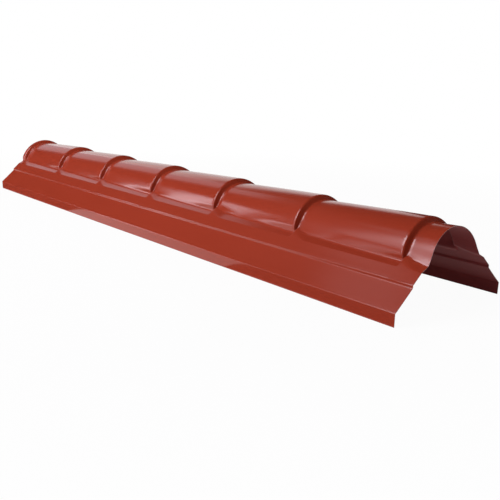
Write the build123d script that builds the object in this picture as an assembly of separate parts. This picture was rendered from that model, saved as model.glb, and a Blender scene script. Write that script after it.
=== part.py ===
from build123d import *
from math import cos, hypot, radians, sin
import os

# A stepped, half-round ridge cap: one strip of coated steel sheet, pressed and folded.
# X runs along the ridge, Y across it and Z up. The origin is midway along the base,
# level with the bottom edges of the two lips. All lengths are in millimetres.

# Sheet
sheet_thickness = 0.5

# Length: a lead, the whole barrels, then the collar that the next cap laps over
barrel_pitch = 310.0
barrel_count = 6
lead_length = 22.0
collar_length = 58.0
lead_draw = 8.0
collar_draw = 5.0

# Crown: an arch over its foot, low at the narrow end of a barrel and high at the rim
crown_half_width = 85.0
narrow_rise = 62.5
rim_rise = 74.0
narrow_top_radius = 80.0
rim_top_radius = 95.0
narrow_top_spread = 60.0
rim_top_spread = 69.0
narrow_foot_angle = 42.0
rim_foot_angle = 125.0
leg_fullness = 0.38
belly_height = 0.6
belly_stations = 2

# Step from a rim down to the next narrow end, pressed with a slope that fades out at the foot
step_run = 10.0
foot_run = 1.0
rim_bend_radius = 3.0
heel_bend_radius = 3.0
bend_stations = 2

# Side folds, from the foot of the crown out to the lip; an upright jog stiffens the flange
foot_height = 3.0
shelf_width = 23.5
shelf_angle = 26.0
upper_flange_length = 31.7
upper_flange_angle = 41.2
jog_height = 5.5
lower_flange_length = 63.1
lower_flange_angle = 40.7
lip_height = 27.0
fold_radius = 2.5
jog_radius = 3.0

total_length = lead_length + barrel_count * barrel_pitch + collar_length
start_x = -total_length / 2
end_x = total_length / 2
narrow_to_rim = rim_rise - narrow_rise


def go(point, length, fall_angle):
    """The point reached from another by going outward and down at fall_angle degrees."""
    angle = radians(fall_angle)
    return (point[0] + length * cos(angle), point[1] - length * sin(angle))


def side_corners():
    """Corners of a side's outer face in (y, z), from the foot of the crown down to the lip's edge."""
    foot_top = (crown_half_width, 0.0)
    foot = go(foot_top, foot_height, 90)
    shelf_edge = go(foot, shelf_width, shelf_angle)
    jog_top = go(shelf_edge, upper_flange_length, upper_flange_angle)
    jog_foot = go(jog_top, jog_height, 90)
    lip_top = go(jog_foot, lower_flange_length, lower_flange_angle)
    lip_edge = go(lip_top, lip_height, 90)
    corners = [foot_top, foot, shelf_edge, jog_top, jog_foot, lip_top, lip_edge]
    return [(y, z - lip_edge[1]) for y, z in corners]


corners = side_corners()
crown_foot_z = corners[0][1]


def make_side():
    """One side, folded from the foot of the crown to the lip, as a thin prism along the cap."""
    radii = [fold_radius, fold_radius, jog_radius, jog_radius, fold_radius]
    outer_face = FilletPolyline(*corners, radius=radii)
    strip = outer_face.wire().offset_2d(sheet_thickness, kind=Kind.ARC, side=Side.RIGHT, closed=True)
    return extrude(Plane.YZ.offset(start_x) * make_face(strip), amount=total_length)


def rise_at(u):
    """Height of the crest over the foot, u of the way from a barrel's narrow end to its rim."""
    return narrow_rise + narrow_to_rim * u + 4 * belly_height * u * (1 - u)


def step_places():
    """Where each rim and the heel after it meet the foot, from end to end of the cap."""
    return [start_x + lead_length + k * barrel_pitch for k in range(barrel_count + 1)]


def crest_corners():
    """Corners of the crest's line from end to end, as (x, rise, bend radius)."""
    found = [(start_x + lead_draw, rise_at(1 - (lead_length - lead_draw) / barrel_pitch), 0)]
    for heel in step_places():
        found.append((heel - step_run, rim_rise, rim_bend_radius))
        found.append((heel, narrow_rise, heel_bend_radius))
        for i in range(1, belly_stations + 1):
            u = i / (belly_stations + 1)
            if heel + u * barrel_pitch < end_x - 2 * collar_draw:
                found.append((heel + u * barrel_pitch, rise_at(u), 0))
    return found + [(end_x - collar_draw, rise_at((collar_length - collar_draw) / barrel_pitch), 0)]


def foot_under(x):
    """Where the section whose crest is at x meets the foot: the steps and both ends fan out upward."""
    pairs = [(start_x + lead_draw, start_x)]
    for heel in step_places():
        pairs += [(heel - step_run, heel - foot_run), (heel, heel)]
    pairs.append((end_x - collar_draw, end_x))
    for (crest_a, foot_a), (crest_b, foot_b) in zip(pairs, pairs[1:]):
        if x <= crest_b:
            break
    return foot_a + (foot_b - foot_a) * (x - crest_a) / (crest_b - crest_a)


def crest_stations():
    """Where the crown is cut into sections, as (x, rise, outward normal's x, outward normal's z)."""
    found = crest_corners()
    line = FilletPolyline(*[(x, rise) for x, rise, radius in found], radius=[c[2] for c in found[1:-1]])
    stations = {}
    for edge in line.edges():
        count = bend_stations if edge.geom_type == GeomType.CIRCLE else 1
        for i in range(count + 1):
            point = edge @ (i / count)
            tangent = edge % (i / count)
            sign = 1 if tangent.X > 0 else -1
            stations[round(point.X, 3)] = (point.X, point.Y, -sign * tangent.Y, sign * tangent.X)
    return [stations[x] for x in sorted(stations)]


def between(narrow, rim, share):
    """A value share of the way from its size at a narrow end to its size at a rim."""
    return narrow + (rim - narrow) * share


def crown_section(x, rise, foot_x, depth):
    """The arch across the crown, depth inside the outer face: crest at x, foot at foot_x, closed below."""
    height = hypot(rise, x - foot_x)
    share = (rise + depth - narrow_rise) / narrow_to_rim
    radius = between(narrow_top_radius, rim_top_radius, share) - depth
    spread = radians(between(narrow_top_spread, rim_top_spread, share))
    foot_angle = radians(between(narrow_foot_angle, rim_foot_angle, share))
    shoulder = Vector(radius * sin(spread), height - radius + radius * cos(spread))
    foot = Vector(crown_half_width - depth, 0)
    reach = (foot - shoulder).length * leg_fullness
    leg = [
        shoulder,
        shoulder + Vector(cos(spread), -sin(spread)) * reach,
        foot - Vector(cos(foot_angle), -sin(foot_angle)) * reach,
        foot,
    ]
    mirrored = [Vector(-p.X, p.Y) for p in reversed(leg)]
    base = [foot, foot - Vector(0, depth), mirrored[0] - Vector(0, depth), mirrored[0]]
    arch = Curve() + [
        Bezier(*mirrored),
        ThreePointArc(mirrored[-1], (0, height), shoulder),
        Bezier(*leg),
        Polyline(*(base if depth else [foot, mirrored[0]])),
    ]
    plane = Plane((foot_x, 0, crown_foot_z), x_dir=(0, 1, 0), z_dir=(rise, 0, foot_x - x))
    return plane * make_face(arch)


def crown_body(depth):
    """The filled crown, depth inside its outer face; the inner one runs out past both ends."""
    stations = crest_stations()
    sections = []
    for i, (x, rise, nx, nz) in enumerate(stations):
        past = {0: -depth, len(stations) - 1: depth}.get(i, 0)
        sections.append(crown_section(x - depth * nx + past, rise - depth * nz, foot_under(x) + past, depth))
    return loft(sections, ruled=True)


crown = crown_body(0) - crown_body(sheet_thickness)
side = make_side()
cap = crown + side + mirror(side, about=Plane.XZ)
os.makedirs("parts", exist_ok=True)
export_step(cap.solid(), "parts/ridge_cap.step")
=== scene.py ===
# %% [markdown]
# # A stepped round ridge cap in coated steel
#
# A ridge cap covers the line where two roof slopes meet. This one is a single strip of painted
# steel sheet, half a millimetre thick. Presses give it a half-round crown with a step every
# 310 mm, so that it looks like a row of barrel tiles, and a folding line gives it the flat
# flanges, a jog that stiffens each of them and the two lips that hang down over the roof sheet.
#
# The solid model fixes every size, so the lesson starts by loading it as the frame. What is made
# here is the fine work on top of it: the soft pressed bends, the small gussets beside each step,
# the coating, and the studio that it stands in.

# %% Load the solid model
from math import cos, exp, hypot, pi, radians, sin, tan

import bmesh
import bpy
from mathutils import Euler, Matrix, Vector


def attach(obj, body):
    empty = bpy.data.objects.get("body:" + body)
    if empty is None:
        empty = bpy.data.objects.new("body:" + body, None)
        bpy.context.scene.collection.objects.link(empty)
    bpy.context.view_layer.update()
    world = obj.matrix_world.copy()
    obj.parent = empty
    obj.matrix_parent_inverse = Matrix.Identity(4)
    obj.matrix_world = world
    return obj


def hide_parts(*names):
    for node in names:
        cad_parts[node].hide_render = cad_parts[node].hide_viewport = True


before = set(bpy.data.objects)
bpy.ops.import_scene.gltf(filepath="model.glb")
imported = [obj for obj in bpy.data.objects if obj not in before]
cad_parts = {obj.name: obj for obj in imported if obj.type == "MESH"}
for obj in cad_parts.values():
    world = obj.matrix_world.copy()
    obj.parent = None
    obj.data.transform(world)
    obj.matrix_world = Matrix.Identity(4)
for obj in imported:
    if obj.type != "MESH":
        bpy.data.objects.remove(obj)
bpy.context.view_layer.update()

print("nodes of the solid model:", sorted(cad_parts))

# %% [markdown]
# ## The camera
#
# The cap runs away from the viewer to the left, and its near end is on the right. Such a long,
# straight piece shows perspective strongly: the steps close up towards the far end. The camera
# stands a little above the ridge and about two metres off, turned 140 degrees from the ridge's
# direction and tipped down by 14. A lens of 50 mm frames the whole cap. The camera's axes are
# built from three angles, so that each can be changed by itself: where it looks along the
# ground, how far it tips down, and how far it leans.

# %% Place the camera
look_along = radians(139.765)
tip_down = radians(14.038)
lean = radians(-1.412)

level = cos(tip_down)
forward = Vector((level * cos(look_along), level * sin(look_along), -sin(tip_down)))
level_right = forward.cross(Vector((0, 0, 1))).normalized()
level_up = level_right.cross(forward)
right = cos(lean) * level_right - sin(lean) * level_up
up = sin(lean) * level_right + cos(lean) * level_up

lens = bpy.data.cameras.new("camera")
lens.sensor_width = 36
lens.lens = 49.795
lens.clip_start = 0.01
camera = bpy.data.objects.new("camera", lens)
camera.matrix_world = Matrix.Translation((1.724122, -1.172495, 0.447653)) @ Matrix(
    (right, up, -forward)
).transposed().to_4x4()
bpy.context.scene.collection.objects.link(camera)
bpy.context.scene.camera = camera
print("camera at", [round(v, 3) for v in camera.matrix_world.translation])

# %% [markdown]
# ## The sizes of the cap
#
# These sizes are in millimetres. A fold is described by how wide the flat beside it is and how
# steeply that flat falls, which is how a folding drawing gives it. The steps divide the crown
# into barrels: each is low and narrow at its start and swells to a high rim, where the next one
# starts. The sizes are those of the part's source, but the pressed shapes are drawn softer here:
# the bends of the steps are wider, the rim's legs stand straighter with their feet swelled
# outward, and the rim is 0.2 mm lower, which keeps the sheet inside the solid's box.

# %% Sizes in millimetres
sheet = 0.5
pitch, barrels, lead, collar = 310.0, 6, 22.0, 58.0
lead_draw, collar_draw = 8.0, 5.0
half_width = 85.0
narrow_rise, rim_rise, belly = 62.5, 73.8, 0.6
narrow_radius, rim_radius = 80.0, 95.0
narrow_spread, rim_spread = 60.0, 69.0
narrow_flare, rim_flare = 42.0, 96.0
leg_fullness, foot_swell = 0.38, 4.5
step_run, foot_run, bend = 10.0, 1.0, 5.0
foot_height, shelf_width, shelf_fall = 3.0, 23.5, 26.0
upper_width, upper_fall = 31.7, 41.2
jog_height = 5.5
lower_width, lower_fall = 63.1, 40.7
lip_height = 27.0
shelf_bend, jog_bend, lip_bend = 4.0, 3.2, 2.8

length = lead + barrels * pitch + collar
start, end = -length / 2, length / 2
heels = [start + lead + k * pitch for k in range(barrels + 1)]
print(len(heels), "steps, from", heels[0], "to", heels[-1], "mm")

# %% [markdown]
# ## Rounding a folded line
#
# Sheet metal never folds to a knife edge: the outside of each bend is an arc of a few
# millimetres. One helper turns a line with sharp corners into one with arcs. It serves the
# folds across the cap and, further on, the bends of the steps along it, so every bend gets
# the same care. The arc's points are found by turning from its first point to its last around
# the centre.

# %% Round the corners of a line
def rounded(corners, radii, steps):
    """The line through the corners, with each inner corner replaced by an arc of its radius."""
    line = [corners[0]]
    for (a, b, c), radius in zip(zip(corners, corners[1:], corners[2:]), radii):
        back, onward = (a - b).normalized(), (c - b).normalized()
        half = back.angle(onward) / 2
        centre = b + (back + onward).normalized() * radius / sin(half)
        first = b + back * radius / tan(half) - centre
        last = b + onward * radius / tan(half) - centre
        turn = pi - 2 * half
        for i in range(steps + 1):
            t = i / steps
            line.append(centre + (first * sin((1 - t) * turn) + last * sin(t * turn)) / sin(turn))
    return line + [corners[-1]]


def go(point, distance, fall):
    """The point reached by going outward and down at an angle."""
    return point + distance * Vector((cos(radians(fall)), -sin(radians(fall))))


foot_top = Vector((half_width, 0.0))
foot = go(foot_top, foot_height, 90)
shelf_edge = go(foot, shelf_width, shelf_fall)
jog_top = go(shelf_edge, upper_width, upper_fall)
jog_foot = go(jog_top, jog_height, 90)
lip_top = go(jog_foot, lower_width, lower_fall)
lip_edge = go(lip_top, lip_height, 90)
base = Vector((0, lip_edge.y))
foot_top, foot, shelf_edge, jog_top, jog_foot, lip_top, lip_edge = [
    p - base for p in (foot_top, foot, shelf_edge, jog_top, jog_foot, lip_top, lip_edge)
]
print("the crown's foot is", round(foot_top.y, 1), "mm above the lip's edge")

# %% [markdown]
# ## The line of the crest
#
# Seen from the side, the top of the cap is a saw-tooth line: a slow rise over each barrel with a
# slight belly, a rounded rim, a short steep face down and a rounded heel. Where the sheet is
# curved only slowly, a cross-section every 24 mm is enough. At each step they crowd together,
# because that is where the light makes its sharp lines.

# %% Choose the cross-sections along the cap
step_reach, bend_cells = 12, 4


def rise_at(x):
    """Height of the crest over the foot on the barrel that holds x."""
    begin = max([h for h in heels if h <= x], default=heels[0] - pitch)
    u = (x - begin) / (pitch - step_run)
    return narrow_rise + (rim_rise - narrow_rise) * u + 4 * belly * u * (1 - u)


def divided(a, b, cells):
    """The points that divide the run from a to b, without a."""
    return [a.lerp(b, i / cells) for i in range(1, cells + 1)]


def step_line(heel):
    """The crest across one step, from a little before the rim to a little after the heel."""
    rim = heel - step_run
    before, after = max(rim - step_reach, start + lead_draw), heel + step_reach
    corners = [
        Vector((before, rise_at(before))),
        Vector((rim, rim_rise)),
        Vector((heel, narrow_rise)),
        Vector((after, rise_at(after))),
    ]
    line = rounded(corners, [bend, bend], bend_cells)
    rim_bend, heel_bend = line[1 : bend_cells + 2], line[bend_cells + 2 : -1]
    return [
        line[0],
        *divided(line[0], rim_bend[0], 5),
        *rim_bend[1:],
        *divided(rim_bend[-1], heel_bend[0], 6),
        *heel_bend[1:],
        *divided(heel_bend[-1], line[-1], 5),
    ]


def crest_line():
    """Every cross-section's crest, as (x, rise), from the lead end to the collar end."""
    line = []
    for heel in heels:
        line += step_line(heel)
        after = [heel + d for d in (15, 20, 26, 33, 41, 50)]
        after += [heel + 50 + 24 * k for k in range(1, 10)] + [heel + d for d in (277, 283)]
        line += [Vector((x, rise_at(x))) for x in after if x < end - collar_draw - 1]
    return line + [Vector((end - collar_draw, rise_at(end - collar_draw)))]


crest = crest_line()
print(len(crest), "cross-sections along the cap")

# %% [markdown]
# ## One cross-section
#
# A section stands on the foot line and leans so that its crest meets the crest's line: the steps
# and both ends of the crown fan out upward from the foot, as on any part that was pressed from
# one sheet. Its arch is an arc over the top and a curved leg down to the foot. At a narrow end
# the legs flare out; at a rim they stand upright and the foot has swelled outward over the shelf.
# That change is the part that takes the most skill to press without tearing the sheet.

# %% Draw the arch and its leg
arc_cells, leg_cells, crease_cells = 20, 12, 6
leg_share = 0.84


def between(narrow, rim, share):
    """A value share of the way from a narrow end to a rim."""
    return narrow + (rim - narrow) * share


def bezier(a, b, c, d, t):
    """A point of the curve that leaves a towards b and reaches d from c."""
    return a * (1 - t) ** 3 + b * 3 * t * (1 - t) ** 2 + c * 3 * t * t * (1 - t) + d * t ** 3


def swelled(share):
    """How far the foot of the crown has moved outward, and down the shelf's slope."""
    return foot_swell * max(0, min(1, share)) * Vector((1, -tan(radians(shelf_fall))))


def arch(height, share):
    """Half the arch, as (y, height above the foot), from the crest down to just above the foot."""
    radius = between(narrow_radius, rim_radius, share)
    spread = radians(between(narrow_spread, rim_spread, share))
    flare = radians(between(narrow_flare, rim_flare, share))
    centre = Vector((0, height - radius))
    turns = [spread * i / arc_cells for i in range(arc_cells + 1)]
    top = [centre + radius * Vector((sin(turn), cos(turn))) for turn in turns]
    leg_end = Vector((half_width, 0)) + swelled(share)
    reach = (leg_end - top[-1]).length * leg_fullness
    handles = [
        top[-1],
        top[-1] + reach * Vector((cos(spread), -sin(spread))),
        leg_end - reach * Vector((cos(flare), -sin(flare))),
        leg_end,
    ]
    return top + [bezier(*handles, leg_share * i / leg_cells) for i in range(1, leg_cells + 1)]


def foot_under(x):
    """Where the section whose crest is at x meets the foot."""
    pairs = [(start + lead_draw, start)]
    for heel in heels:
        pairs += [(heel - step_run, heel - foot_run), (heel, heel)]
    pairs.append((end - collar_draw, end))
    for (crest_a, foot_a), (crest_b, foot_b) in zip(pairs, pairs[1:]):
        if x <= crest_b:
            break
    return foot_a + (foot_b - foot_a) * (x - crest_a) / (crest_b - crest_a)


print(len(arch(70, 0.5)), "points from the crest to the foot")

# %% [markdown]
# ## The gusset beside each step
#
# At a rim the crown's legs stand upright, and their feet reach out over the shelf. Just past it
# the sheet has to open out again into the next barrel's flared foot, and it can't do that
# without a small pressed gusset: the slope of the flange runs up to the foot of the step, and
# the flatter shelf opens from there like a fan until it has its full width about 45 mm on. The
# gusset is made by lifting the shelf by an amount that dies away past the heel, but never above
# the flange's own slope carried inward. Where the lifted shelf meets the crown's leg, the higher
# of the two is the sheet. Both choices are made softly, which gives the rounded folds between
# them. Where the step itself runs out, the sheet is pinched into a small knot, which catches the
# light.

# %% Lift the shelf past a step
gusset_lift, gusset_start, gusset_end = 6.0, 2.0, 50.0
knot_height, knot_radius = 2.4, 3.4


def lift_at(x):
    """How far the shelf is lifted at x, past the step before it."""
    for heel in heels:
        d = x - heel
        if abs(d) < gusset_start:
            t = (d + gusset_start) / (2 * gusset_start)
            return gusset_lift * t * t * (3 - 2 * t)
        if gusset_start <= d < gusset_end:
            return gusset_lift * (1 - (d - gusset_start) / (gusset_end - gusset_start)) ** 1.3
    return 0.0


def gusset(y, z, lift):
    """The lift of a point of the shelf, the crease or the lower leg."""
    if lift <= 0 or y > jog_top.x:
        return 0.0
    if y > half_width and z < foot.y:
        room = shelf_edge.y + (shelf_edge.x - y) * tan(radians(upper_fall)) - z
        return 0.0 if room <= 0.001 else (lift ** -4 + room ** -4) ** -0.25
    over = foot.y + lift + (half_width - y) * tan(radians(shelf_fall)) - z
    return min(1, lift) * (over + hypot(over, 0.8)) / 2 if over > -6 else 0.0


def knot(x, y, z):
    """How far the sheet stands out at the pinch where a step runs out at the crown's foot."""
    away = min(hypot(x - heel + foot_run, y - half_width, z - foot.y - 2) for heel in heels)
    return knot_height * exp(-(away / knot_radius) ** 2)


print("the shelf is lifted by", lift_at(heels[0] + gusset_start), "mm just past a heel")

# %% [markdown]
# ## From the crest to the lip
#
# Half of a whole cross-section is a run of points: down the arch, through the soft crease at the
# foot, over the shelf and the upper flange, down the jog, over the lower flange and round into
# the lip. Every section has the same count of points, so the sections can be the rows of
# one grid. Wide flats are divided as well, because real flats are never quite flat: they get a
# slow wave of a few tenths of a millimetre, which bends the reflections.

# %% Join the pieces of a half section
crease_width = 5.5
fold_cells, flat_cells, lip_cells = 6, (6, 4, 1, 8), 3
side_line = rounded(
    [foot, shelf_edge, jog_top, jog_foot, lip_top, lip_edge],
    [shelf_bend, jog_bend, jog_bend, lip_bend],
    fold_cells,
)


def side_points(shelf_start):
    """The points from the shelf out to the lip's edge."""
    points = [shelf_start]
    for i, cells in enumerate(flat_cells):
        first = 1 + i * (fold_cells + 1)
        points += divided(points[-1], side_line[first], cells)
        points += side_line[first + 1 : first + fold_cells + 1]
    return points[1:] + divided(points[-1], side_line[-1], lip_cells)


def half_section(station):
    """Half a cross-section as points (x, y, z), from the crest out to the lip's edge."""
    x, rise = station
    foot_x = foot_under(x)
    height = hypot(rise, x - foot_x)
    share = (rise - narrow_rise) / (rim_rise - narrow_rise)
    arch_points = arch(height, share)
    move = swelled(share)
    shelf_start = go(foot + move, crease_width, shelf_fall)
    leg_end = arch_points[-1] + Vector((0, foot_top.y))
    handles = [leg_end, foot_top + move, foot + move, shelf_start]
    crease = [bezier(*handles, i / crease_cells) for i in range(1, crease_cells + 1)]
    upright = [(foot_x, y, z) for y, z in crease + side_points(shelf_start)]
    leaning = []
    for y, v in arch_points:
        up = v / height
        leaning.append((foot_x + (x - foot_x) * up, y, foot_top.y + rise * up))
    lift = lift_at(foot_x)
    return [Vector((px, y, z + gusset(y, z, lift))) for px, y, z in leaning + upright]


half_count = len(half_section(crest[0]))
print(half_count, "points from the crest to the lip's edge")

# %% [markdown]
# ## Press the sheet
#
# The real cap starts as a flat strip, and so does this one. A grid is the strip, cut into cells:
# its rows are the cross-sections and its columns run along the cap. Each crossing is then taken
# to its place on the pressed form. A grid keeps the faces in clean rows, which matters on
# metal, where any uneven mesh shows in the highlights. The Solidify modifier gives the sheet
# its thickness inward, because the outer face is the one that the solid model's sizes describe.
# The same modifier puts the back coat on the inner face and bare steel on the cut edges.

# %% Slow waves of the flats
lower_wave, upper_wave, lip_swing = 0.20, 0.14, 0.5


def wave(x, y, z):
    """How far a flat stands off its true plane, in millimetres, always inward."""
    lower_start, upper_end = jog_foot.x + 1.5, jog_top.x - 2
    if y > lower_start and z > lip_top.y:
        across = (y - lower_start) / (lip_top.x - lower_start)
        along = 1 + 0.6 * sin(x / 71 + 0.4) + 0.4 * sin(x / 33 + 2.0)
        return lower_wave * sin(pi * across) * along
    if shelf_edge.x < y < upper_end:
        across = (y - shelf_edge.x) / (upper_end - shelf_edge.x)
        return upper_wave * sin(pi * across) * (1 + 0.8 * sin(x / 57 + 1.1))
    return 0.0


def lip_wave(x, z):
    """How far the free edge of the lip swings inward."""
    if z >= lip_top.y:
        return 0.0
    return lip_swing * (1 - z / lip_top.y) * (1 + sin(x / 83 + 0.8)) / 2


def placed(point, side):
    """A point of a half section on its side of the cap, in metres; the sides' waves differ."""
    x, y, z = point
    dip = wave(x + 37 * side, y, z) - knot(x, y, z)
    slope = radians(lower_fall)
    y = y - dip * sin(slope) - lip_wave(x + 53 * side, z)
    return Vector((x, side * y, z - dip * cos(slope))) / 1000


print("the lip's edge swings in by up to", lip_swing, "mm")

# %% [markdown]
# ## Soft steps
#
# A press tool can't draw a step as crisply on the steep flanks as over the crest, because there
# the sheet slides along the tool. On the real cap a step is therefore a clear edge on top and a
# soft swell lower down. That is made by averaging: each crossing near a step is drawn toward its
# two neighbours along the cap, a little at the crest and fully from the shoulder down, and this
# is repeated a few times.

# %% Soften the steps, most on the flanks
soft_before, soft_after, soft_passes = 26, 16, 7


def softened(sections):
    """The sections, with each crossing near a step drawn toward its neighbours along the cap."""
    near = [any(-soft_before < x - heel < soft_after for heel in heels) for x, rise in crest]
    for _ in range(soft_passes):
        before = [list(section) for section in sections]
        for i in range(1, len(sections) - 1):
            for j in range(arc_cells + leg_cells + 1 if near[i] else 0):
                share = 0.5 * min(1, 0.15 + 0.85 * j / arc_cells)
                middle = (before[i - 1][j] + before[i + 1][j]) / 2
                sections[i][j] = before[i][j].lerp(middle, share)
    return sections


sections = softened([half_section(station) for station in crest])
print("the highest point is now", round(max(p.z for s in sections for p in s), 2), "mm up")

# %% [markdown]
# ## From the flat strip to the cap
#
# The grid is the strip on the press bench. Its crossings are counted in rows along the cap and
# columns across it, and each one takes the place of its point of a half section, on the near or
# the far side. The faces are shaded smoothly everywhere but at the cut edges.

# %% Press a flat grid into the cap
rows, columns = len(sections), 2 * half_count - 1

strip = bmesh.new()
bmesh.ops.create_grid(strip, x_segments=rows - 1, y_segments=columns - 1, size=0.5)
for corner in strip.verts:
    row = round((corner.co.x + 0.5) * (rows - 1))
    column = round((corner.co.y + 0.5) * (columns - 1)) - (half_count - 1)
    corner.co = placed(sections[row][abs(column)], -1 if column < 0 else 1)
for face in strip.faces:
    face.smooth = True
for edge in strip.edges:
    edge.smooth = not edge.is_boundary
print(len(strip.verts), "points and", len(strip.faces), "cells in the sheet")

# %% Make it an object with a wall
pressed = bpy.data.meshes.new("cap_sheet")
strip.to_mesh(pressed)
strip.free()
cap_sheet = bpy.data.objects.new("cap_sheet", pressed)
bpy.context.scene.collection.objects.link(cap_sheet)

wall = cap_sheet.modifiers.new("wall", "SOLIDIFY")
wall.thickness = sheet / 1000
wall.offset = -1
wall.use_even_offset = True
wall.material_offset = 1
wall.material_offset_rim = 2
print("the wall is", sheet, "mm thick and lies inside the pressed face")

# %% [markdown]
# ## Writing shader maths as sums
#
# Nodes are quick to read as formulas. One small class wraps a socket, so that 0.3 + 0.1 * noise
# adds the Math nodes by itself. Everything else comes from one method that takes the kind of
# node, its settings and what goes into its sockets.

# %% A small kit for nodes
class Value:
    """A socket of a node that can be used in sums."""

    def __init__(self, nodes, socket):
        self.nodes = nodes
        self.socket = socket

    def _sum(self, operation, a, b):
        return self.nodes.add("ShaderNodeMath", {"operation": operation}, {0: a, 1: b})

    def __add__(self, other):
        return self._sum("ADD", self, other)

    def __sub__(self, other):
        return self._sum("SUBTRACT", self, other)

    def __rsub__(self, other):
        return self._sum("SUBTRACT", other, self)

    def __mul__(self, other):
        return self._sum("MULTIPLY", self, other)

    __radd__ = __add__
    __rmul__ = __mul__


class Nodes:
    """The nodes of a material or of the world."""

    def __init__(self, owner):
        owner.use_nodes = True
        self.tree = owner.node_tree
        self.tree.nodes.clear()

    def add(self, kind, settings=None, inputs=None, output=0):
        """A new node with its settings and its sockets' values or links; returns one output."""
        node = self.tree.nodes.new(kind)
        for name, value in (settings or {}).items():
            setattr(node, name, value)
        for key, value in (inputs or {}).items():
            if isinstance(value, Value):
                self.tree.links.new(value.socket, node.inputs[key])
            else:
                node.inputs[key].default_value = value
        return Value(self, node.outputs[output]) if node.outputs else None


def noise(nodes, place, scale, detail=2.0, stretch=None):
    """Soft random spots of a size, stretched along an axis where that is asked for."""
    if stretch:
        place = nodes.add("ShaderNodeMapping", None, {"Vector": place, "Scale": stretch})
    inputs = {"Vector": place, "Scale": scale, "Detail": detail}
    return nodes.add("ShaderNodeTexNoise", None, inputs)


def toned(nodes, colour, tone):
    """A colour made darker or lighter by a tone."""
    inputs = {"Vector": colour, "Scale": tone}
    return nodes.add("ShaderNodeVectorMath", {"operation": "SCALE"}, inputs)


def rough(nodes, height, strength):
    """A fine relief 0.03 mm deep."""
    inputs = {"Strength": strength, "Distance": 0.00003, "Height": height}
    return nodes.add("ShaderNodeBump", None, inputs)


def coat(nodes, inputs):
    """The surface itself, joined to the material's output."""
    shader = nodes.add("ShaderNodeBsdfPrincipled", None, inputs)
    nodes.add("ShaderNodeOutputMaterial", None, {"Surface": shader})


print("ready: sums, noise, tones, relief and coats")

# %% [markdown]
# ## The coating
#
# The face coat is a brick-red polyester paint, baked on the coil before the sheet is formed. It
# is satin with a clear sheen, so bends show thin bright lines and the flats show wide soft ones.
# Close up it has a fine orange peel and faint marks along the cap from the forming rolls, and
# from one end to the other the tone drifts by a few percent. All of that is read from the
# object's own coordinates, so it stays where it is from any side.

# %% Face coat
def face_coat():
    """Brick-red satin paint on the outside."""
    material = bpy.data.materials.new("face_coat")
    nodes = Nodes(material)
    place = nodes.add("ShaderNodeTexCoord", output=3)
    drift = noise(nodes, place, 2.6, 3.0)
    rolled = noise(nodes, place, 1.0, 4.0, stretch=(2.5, 170.0, 170.0))
    grain = noise(nodes, place, 900.0, 1.0)
    peel = noise(nodes, place, 330.0, 2.0)
    tone = 0.93 + 0.08 * drift + 0.03 * rolled + 0.03 * grain
    coat(nodes, {
        "Base Color": toned(nodes, (0.34, 0.042, 0.018), tone),
        "Roughness": 0.13 + 0.06 * drift + 0.03 * rolled,
        "Specular IOR Level": 0.5,
        "Normal": rough(nodes, peel + 0.5 * rolled, 0.35),
    })
    return material


cap_sheet.data.materials.append(face_coat())
print("the face coat has", len(cap_sheet.data.materials[0].node_tree.nodes), "nodes")

# %% [markdown]
# ## The back coat and the cut edge
#
# Under the cap the sheet has only a thin, dull service coat, a dark red-brown. The cut edges at
# both ends and along the lips are bare: a grey line of zinc and steel as thick as the sheet.

# %% Back coat and cut edge
def back_coat():
    """Thin dull coat on the inside."""
    material = bpy.data.materials.new("back_coat")
    nodes = Nodes(material)
    place = nodes.add("ShaderNodeTexCoord", output=3)
    drift = noise(nodes, place, 4.0, 3.0)
    grain = noise(nodes, place, 500.0, 2.0)
    tone = 0.85 + 0.2 * drift + 0.08 * grain
    coat(nodes, {
        "Base Color": toned(nodes, (0.34, 0.07, 0.065), tone),
        "Roughness": 0.5 + 0.12 * drift,
        "Specular IOR Level": 0.08,
        "Normal": rough(nodes, grain, 0.3),
    })
    return material


def cut_edge():
    """Bare zinc and steel where the sheet was cut."""
    material = bpy.data.materials.new("cut_edge")
    nodes = Nodes(material)
    place = nodes.add("ShaderNodeTexCoord", output=3)
    shear = noise(nodes, place, 1.0, 3.0, stretch=(700.0, 700.0, 90.0))
    coat(nodes, {
        "Base Color": toned(nodes, (0.42, 0.38, 0.36), 0.6 + 0.6 * shear),
        "Metallic": 0.8,
        "Roughness": 0.35 + 0.25 * shear,
    })
    return material


for material in (back_coat(), cut_edge()):
    cap_sheet.data.materials.append(material)
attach(cap_sheet, "root")
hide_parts("ridge_cap")
print("finishes:", [m.name for m in cap_sheet.data.materials])

# %% [markdown]
# ## The studio
#
# The cap stands on a plain white floor in front of a white background. Both are white to the
# camera and in reflections, and a plain grey to everything else, so the white comes from their
# own colour and not from more light on the cap. Glossy sheet shows whatever is around it, so
# the rest of the studio is built as well: a dark ceiling and dark walls on the sides that the
# camera doesn't look at. Without them the whole coating mirrors white and its red turns to
# pink. Soft panels stand inside that room, each where one face of the cap mirrors it: a tall
# narrow one on the left gives the sheen on the flanks, low strips draw the bright lines along
# the bends, and two large ones beside the camera give most of the light. Two fills behind and
# at the end keep the other sides of the cap readable without being mirrored in it.

# %% White floor and background
def seen(nodes):
    """1 for what the camera, a reflection or clear material looks at, and 0 for other light."""
    camera_ray = nodes.add("ShaderNodeLightPath", output="Is Camera Ray")
    glossy_ray = nodes.add("ShaderNodeLightPath", output="Is Glossy Ray")
    clear_ray = nodes.add("ShaderNodeLightPath", output="Is Transmission Ray")
    return camera_ray + glossy_ray + clear_ray


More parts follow.
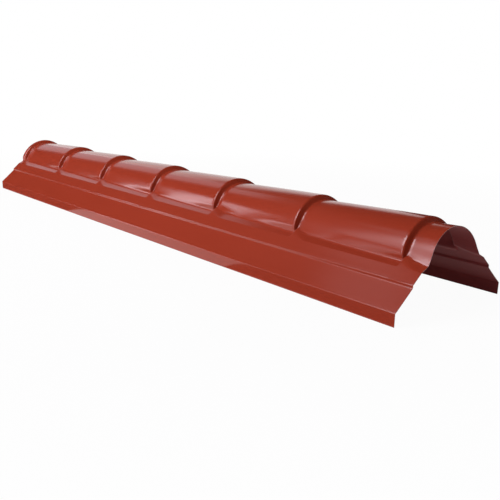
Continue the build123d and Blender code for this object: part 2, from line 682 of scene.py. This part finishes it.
room = bpy.data.worlds.new("white_background")
nodes = Nodes(room)
dim = nodes.add("ShaderNodeBackground", None, {"Color": (1, 1, 1, 1), "Strength": 0.6})
white = nodes.add("ShaderNodeBackground", None, {"Color": (1, 1, 1, 1), "Strength": 1.0})
mixed = nodes.add("ShaderNodeMixShader", None, {0: seen(nodes), 1: dim, 2: white})
nodes.add("ShaderNodeOutputWorld", None, {"Surface": mixed})
bpy.context.scene.world = room


def board(name, width, height, place, turn, material):
    """A flat board that is part of the studio: a grid of one cell, sized, turned and placed."""
    shape = bmesh.new()
    bmesh.ops.create_grid(shape, x_segments=1, y_segments=1, size=0.5)
    bmesh.ops.scale(shape, vec=(width, height, 1), verts=shape.verts)
    bmesh.ops.rotate(shape, matrix=Euler(turn).to_matrix(), verts=shape.verts)
    bmesh.ops.translate(shape, vec=place, verts=shape.verts)
    mesh = bpy.data.meshes.new(name)
    shape.to_mesh(mesh)
    shape.free()
    mesh.materials.append(material)
    made = bpy.data.objects.new(name, mesh)
    bpy.context.scene.collection.objects.link(made)
    return made


white_floor = bpy.data.materials.new("white_floor")
nodes = Nodes(white_floor)
matt = nodes.add("ShaderNodeBsdfDiffuse", None, {"Color": (0.8, 0.8, 0.8, 1)})
glow = nodes.add("ShaderNodeEmission", None, {"Color": (1, 1, 1, 1), "Strength": 1.0})
place = nodes.add("ShaderNodeTexCoord", output=3)
away = nodes.add("ShaderNodeVectorMath", {"operation": "LENGTH"}, {"Vector": place}, output=1)
share = nodes.add("ShaderNodeMapRange", None, {"Value": away, 1: 1.0, 2: 2.2, 3: 0.96, 4: 1.0})
surface = nodes.add("ShaderNodeMixShader", None, {0: share * seen(nodes), 1: matt, 2: glow})
nodes.add("ShaderNodeOutputMaterial", None, {"Surface": surface})
board("floor", 60, 60, (0, 0, 0), (0, 0, 0), white_floor)

dark_wall = bpy.data.materials.new("dark_wall")
nodes = Nodes(dark_wall)
place = nodes.add("ShaderNodeTexCoord", output=3)
matt = nodes.add("ShaderNodeBsdfDiffuse", None, {"Color": 0.02 + 0.02 * noise(nodes, place, 1.5)})
nodes.add("ShaderNodeOutputMaterial", None, {"Surface": matt})
walls = [
    board("ceiling", 14, 14, (0, 0, 4.6), (0, 0, 0), dark_wall),
    board("front_wall", 14, 4.6, (0, -5.5, 2.3), (pi / 2, 0, 0), dark_wall),
    board("right_wall", 4.6, 14, (5.5, 0, 2.3), (0, pi / 2, 0), dark_wall),
    board("left_wall", 4.6, 7.4, (-5.5, -2.1, 2.3), (0, pi / 2, 0), dark_wall),
    board("back_wall", 9.6, 4.6, (1.4, 5.5, 2.3), (pi / 2, 0, 0), dark_wall),
]
# These two dark cards are seen only in reflections, not by the camera, shadows or diffuse light.
# They paint a dark reflection of the floor into the lips near both ends.
cards = [
    board("left_card", 1.1, 0.5, (-0.95, -0.43, 0.001), (0, 0, 0), dark_wall),
    board("right_card", 0.9, 0.5, (0.9, -0.43, 0.001), (0, 0, 0), dark_wall),
]
for hidden in walls + cards:
    hidden.visible_camera = False
for card in cards:
    card.visible_shadow = card.visible_diffuse = False
print(len(walls), "dark boards and", len(cards), "dark cards on the floor, unseen by the camera")

# %% [markdown]
# ## Soft panels
#
# A panel is named by the direction in which the cap sees it and by how wide and high it looks
# from there, both in degrees. That is the way to plan light for a glossy thing: the direction
# that a face mirrors is worked out first, and the panel is hung there. Its energy follows from
# its area, so that brightness is what the panel looks like, with white at 1.

# %% Hang the panels
panel_distance = 3.2
panel_tint = (0.98, 0.92, 1.0)
cap_middle = Vector((0, 0, 0.1))


def panel_at(name, azimuth, elevation, wide, high, brightness):
    """A soft panel that faces the cap, placed and sized by angles as seen from there."""
    turn, lift = radians(azimuth), radians(elevation)
    away = Vector((cos(lift) * cos(turn), cos(lift) * sin(turn), sin(lift)))
    light = bpy.data.lights.new(name, "AREA")
    light.shape = "RECTANGLE"
    light.color = panel_tint
    light.size = panel_distance * radians(wide)
    light.size_y = panel_distance * radians(high)
    light.energy = brightness * pi * light.size * light.size_y
    lamp = bpy.data.objects.new(name, light)
    lamp.location = cap_middle + panel_distance * away
    lamp.rotation_euler = (-away).to_track_quat("-Z", "Y").to_euler()
    lamp.visible_camera = False
    bpy.context.scene.collection.objects.link(lamp)
    return lamp


def fill_at(name, azimuth, elevation, wide, high, brightness):
    """A panel that lights the cap without being mirrored in it."""
    lamp = panel_at(name, azimuth, elevation, wide, high, brightness)
    lamp.visible_glossy = False


panel_at("left_panel", -148, 15, 9, 20, 4.5)
panel_at("strip_panel", -141, 4, 22, 8, 3.8)
panel_at("low_strip_panel", -119, 4, 22, 8, 1.1)
panel_at("low_key_panel", -120, 14, 16, 16, 1.0)
panel_at("key_panel", -122, 41, 18, 28, 1.9)
panel_at("over_panel", -149, 60, 10, 10, 0.6)
panel_at("front_panel", -94, 21, 22, 30, 4.0)
panel_at("high_panel", -100, 52, 34, 26, 7.4)
panel_at("far_panel", 172, 27, 16, 36, 0.75)
fill_at("back_fill", 75, 22, 60, 36, 1.8)
fill_at("end_fill", -20, 12, 40, 20, 0.7)
print(len(bpy.data.lights), "panels")

# %% [markdown]
# ## The view
#
# Colours are shown as they are, without a film look.

# %% Show colours as they are
bpy.context.scene.view_settings.view_transform = "Standard"
